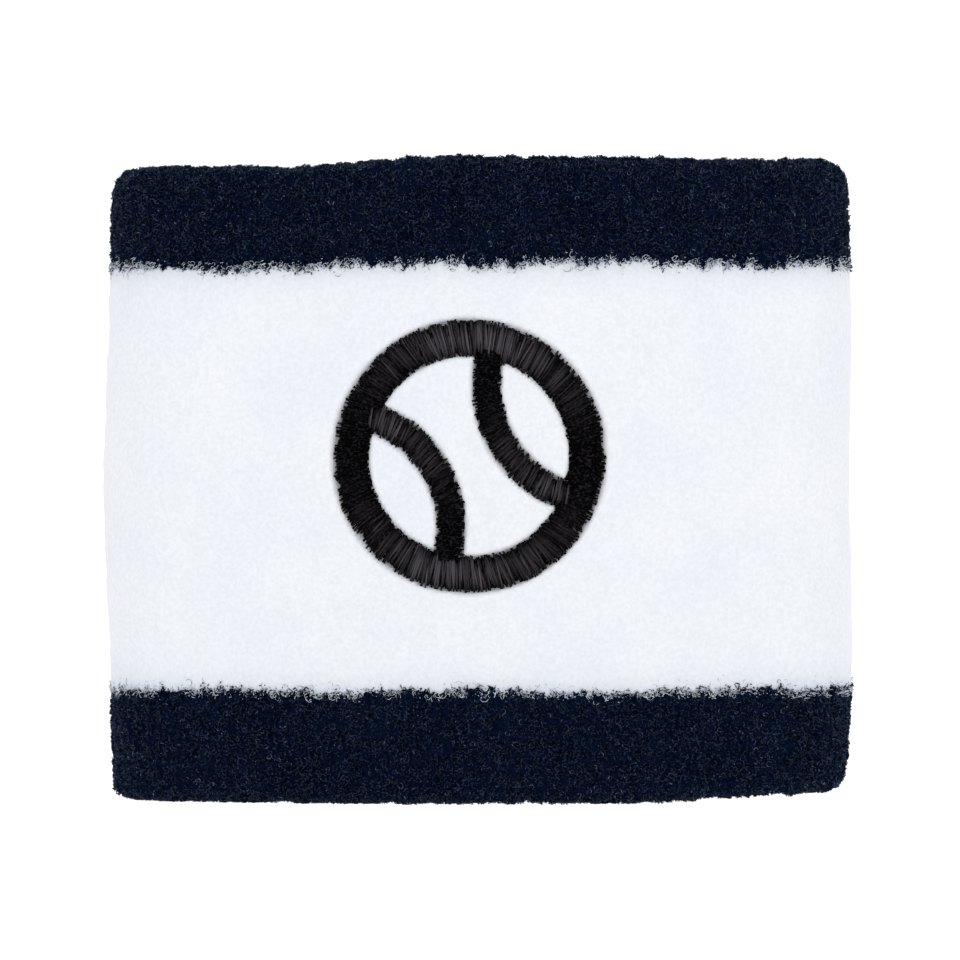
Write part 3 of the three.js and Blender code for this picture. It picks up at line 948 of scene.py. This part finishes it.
def threadTube(name, places, diameter):
    # a round thread along the places, with few sides, because there is so much of it
    curve = bpy.data.curves.new(name, "CURVE")
    curve.dimensions = "3D"
    curve.bevel_depth = diameter / 2
    curve.bevel_resolution = 1
    curve.use_fill_caps = True
    spline = curve.splines.new("POLY")
    spline.points.add(len(places) - 1)
    spline.points.foreach_set("co", np.concatenate([places, np.ones((len(places), 1))], axis=1).ravel())
    piece = bpy.data.objects.new(name, curve)
    bpy.context.collection.objects.link(piece)
    selectOnly(piece)
    bpy.ops.object.convert(target="MESH")
    return bpy.context.object


elasticLook = {"diameter": 0.3 * mm, "pitch": 8 * mm, "steps": 72}
for name, kind in (("outer", "outer"), ("innerUpper", "inner_upper"), ("innerLower", "inner_lower")):
    node = kind + "_elastic_thread"
    low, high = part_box(node)
    depth = depthOf(node) + elasticLook["diameter"] / 2
    turns = round((high.z - low.z) / elasticLook["pitch"])
    share = np.linspace(0, turns, turns * elasticLook["steps"] + 1)
    margin = elasticLook["diameter"] / 2
    height = np.interp(share, [0, turns], [low.z + margin, high.z - margin])
    places = bandPoint(runAtShare(share, depth), depth, height)
    thread = threadTube(name + "Elastic", places, elasticLook["diameter"])
    finished(thread, elasticYarn, "elastic_thread", "band", node)


groundStep = 2 * mm


def groundShell():
    # the C-shaped double tube, closed but for the slot where its edges meet
    slot = seamHalf + bandSettings["gap"]
    outer = bandSettings["pile"] + bandSettings["gap"]
    loops = []
    for inset in (outer, outer + bandSettings["ground"]):
        top = overRim(inset, seamHeight, seamHeight + slot)[::-1]
        bottom = upsideDown(overRim(inset, bandHeight - seamHeight, bandHeight - seamHeight + slot))
        loops.append(resampled(np.concatenate([top, bottom[1:]]), groundStep))
    profile = np.concatenate([loops[0], loops[1][::-1]])
    runs = evenRuns(groundStep)
    places = bandPoint(runs[:, None], profile[None, :, 0], profile[None, :, 1])
    return wrappedGrid("elasticGroundKnit", places)


ground = groundShell()
finished(ground, groundYarn, "ground_knit", "band", "elastic_ground_knit")

seamLook = {
    "bulge": 0.35 * mm, "round": 30, "step": 0.4 * mm, "square": 3, "pinch": 0.06, "lump": 0.05,
    "stitch": 3.2 * mm, "thread": 0.32 * mm, "points": 12,  # on a thread, for each stitch
    "reach": 1.25 * mm, "swell": 0.7, "arch": 0.05 * mm, "lean": 0.2,  # the looper threads' swing
    "onFace": 0.1 * mm, "behind": 0.2 * mm,  # how far they lie off the bead, on its two sides
    "lag": 1.5, "end": 0.995,
}
needleLook = {"stitches": 40, "points": 8, "dip": 0.35 * mm, "flat": 0.4, "end": 0.997}


def seamBead():
    # the raw edges, rolled together and pinched by each stitch
    hiddenDepth, faceDepth = depthOf("closing_seam_edges"), wallDepth + seamLook["bulge"]
    middle, half = (hiddenDepth + faceDepth) / 2, (faceDepth - hiddenDepth) / 2
    count = round(girth / seamLook["step"])
    share = np.arange(count) / count
    stitches = round(girth / seamLook["stitch"])
    pinch = 1 - seamLook["pinch"] * np.cos(2 * math.pi * share * stitches)[:, None]
    angle = np.linspace(0, 2 * math.pi, seamLook["round"], endpoint=False)[None]
    lumps = 1 + seamLook["lump"] * softNoise((count, seamLook["round"]), (1.5, 1), seed=95)
    depth = middle + half * powered(np.cos(angle), seamLook["square"]) * pinch * lumps
    height = seamHeight + seamHalf * powered(np.sin(angle), seamLook["square"]) * lumps
    return wrappedGrid("closingSeamEdges", bandPoint(runAtShare(share, wallDepth)[:, None], depth, height))


def looperPlaces(depth, arch, phase):
    # over and back across the seam, once for each stitch, lying on its face
    innerGirth = float(np.sum(arcTurn * (arcRadius - depth)))
    stitches = round(innerGirth / seamLook["stitch"])
    share = np.linspace(0, seamLook["end"], stitches * seamLook["points"])
    swing = np.sin(2 * math.pi * share * stitches + phase)
    height = seamHeight + seamLook["reach"] * np.sign(swing) * np.abs(swing) ** seamLook["swell"]
    lean = seamLook["lean"] / stitches * np.cos(4 * math.pi * share * stitches)
    return bandPoint(runAtShare(share + lean, depth), depth + arch * (1 - swing**2), height)


def needlePlaces(depth):
    # one straight row, sinking into the seam at each stitch
    stitches = needleLook["stitches"]
    share = np.linspace(0, needleLook["end"], stitches * needleLook["points"])
    dip = needleLook["dip"] * np.clip(-np.cos(2 * math.pi * share * stitches) - needleLook["flat"], 0, 1)
    return bandPoint(runAtShare(share, wallDepth), depth - dip, middleHeight("overlock_needle_thread"))


finished(seamBead(), groundYarn, "ground_knit", "band", "closing_seam_edges")
face = wallDepth + seamLook["bulge"]
hidden = depthOf("closing_seam_edges") - seamLook["behind"]
seamThreads = {
    "upperLooperThread": ("upper_looper", looperPlaces(face + seamLook["onFace"], seamLook["arch"], 0)),
    "lowerLooperThread": ("lower_looper", looperPlaces(hidden, -seamLook["arch"], seamLook["lag"])),
    "needleThread": ("needle", needlePlaces(face)),
}
for name, (kind, places) in seamThreads.items():
    thread = threadTube(name, places, seamLook["thread"])
    finished(thread, overlockYarn, "overlock_thread", "band", "overlock_" + kind + "_thread")
print("seam closed")

# Care label: a blank satin tape doubled over, with its ends in the seam
labelLook = {
    "tape": 0.16 * mm, "tail": 1.6 * mm, "across": 32, "along": 60,
    "part": 0.11 * mm, "fold": 14,  # how far apart its halves hang, and how tight its fold is
    "curl": 0.45 * mm, "ripple": 0.1 * mm,
    "bend": 0.8 * mm,
}


def labelTape():
    low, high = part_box("care_label")
    share = np.linspace(-1, 1, labelLook["along"])[:, None]
    across = np.linspace(-1, 1, labelLook["across"])[None]
    down = 1 - np.abs(share)
    top, bottom = high.z + labelLook["tail"], low.z + labelLook["part"]
    height = top - (top - bottom) * down
    fold = np.sqrt(np.clip(1 - down ** labelLook["fold"], 0, 1))
    spread = labelLook["part"] * (1 + np.sin(math.pi * np.abs(share)) ** 2)
    curl = labelLook["curl"] * across**2 * smoothStep(down)
    ripple = labelLook["ripple"] * np.sin(3 * across + 1) * down
    y = (low.y + high.y) / 2 + np.sign(share) * spread * fold - curl - ripple
    x = (low.x + high.x) / 2 + across * (high.x - low.x) / 2
    return wrappedGrid("careLabel", np.stack(np.broadcast_arrays(x, y, height), axis=-1), closed=False)


labelSatin = clothMaterial("satinLabelTape", {
    # woven polyester satin: white, smooth, with a soft gloss
    "dark": "#e3e4e6", "light": "#eeeff0", "roughness": 0.4, "sheen": 0.2,
    "grain": 0.3 * mm, "patch": 5 * mm, "fibre": 0.1 * mm, "bump": 0.15, "specular": 0.5,
})
label = labelTape()
tapeWall = label.modifiers.new("tapeWall", "SOLIDIFY")
tapeWall.thickness = labelLook["tape"]
tapeWall.offset = 0
bpy.context.view_layer.objects.active = label
bpy.ops.object.modifier_apply(modifier="tapeWall")
finished(label, labelSatin, "label_satin", None, "care_label")
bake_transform(label)
print("label sewn in")

# Stage and light
stageSettings = {
    "half": 1.6, "wall": 2.4, "bend": 0.5, "bendSteps": 12,
    "colour": "#7c7c7c", "roughness": 0.9, "glow": 1.0, "sky": 1.12,
}
bpy.ops.mesh.primitive_plane_add(size=2 * stageSettings["half"], location=(0, 0, 0))
floor = bpy.context.object
floor.name = "lightTable"
bpy.ops.object.mode_set(mode="EDIT")
bpy.ops.mesh.select_all(action="DESELECT")
leaveEdit()
for edge in floor.data.edges:
    edge.select = all(floor.data.vertices[i].co.y > 0 for i in edge.vertices)
bpy.ops.object.mode_set(mode="EDIT")
bpy.ops.mesh.select_mode(type="EDGE")
bpy.ops.mesh.extrude_region_move(TRANSFORM_OT_translate={"value": (0, 0, stageSettings["wall"])})
leaveEdit()
for edge in floor.data.edges:
    ends = [floor.data.vertices[i].co for i in edge.vertices]
    edge.select = all(end.y > 0 and end.z < stageSettings["wall"] / 2 for end in ends)
bpy.ops.object.mode_set(mode="EDIT")
bpy.ops.mesh.bevel(offset=stageSettings["bend"], segments=stageSettings["bendSteps"])
leaveEdit()
bpy.ops.object.shade_smooth()
floorMaterial = bpy.data.materials.new("litAcrylicTable")  # lit from below, so it takes no shadow
floorMaterial.use_nodes = True
setSockets(floorMaterial.node_tree.nodes["Principled BSDF"], {
    "Base Color": linear(stageSettings["colour"]), "Roughness": stageSettings["roughness"],
    "Emission Color": linear("#ffffff"), "Emission Strength": stageSettings["glow"],
})
floor.data.materials.append(floorMaterial)

lights = {
    "key": {"place": (0.35, -0.75, 0.55), "size": 0.45, "power": 1.3},
    "fill": {"place": (-0.6, -0.6, 0.35), "size": 0.6, "power": 0.5},
    "top": {"place": (0.0, 0.1, 0.9), "size": 0.8, "power": 0.7},
    "back": {"place": (0.1, 0.8, 0.5), "size": 0.6, "power": 0.7},
}
for name, light in lights.items():
    bpy.ops.object.light_add(type="AREA", location=light["place"])
    lamp = bpy.context.object
    lamp.name = name + "Light"
    lamp.data.size = light["size"]
    lamp.data.energy = light["power"]
    aim = -lamp.location
    aim.z += bandHeight / 2
    lamp.rotation_euler = aim.to_track_quat("-Z", "Y").to_euler()
world = bpy.data.worlds.new("paleStudio")
bpy.context.scene.world = world
world.use_nodes = True
sky = {"Color": linear("#ffffff"), "Strength": stageSettings["sky"]}
setSockets(world.node_tree.nodes["Background"], sky)
bpy.context.scene.view_settings.view_transform = "Standard"
print("stage lit")
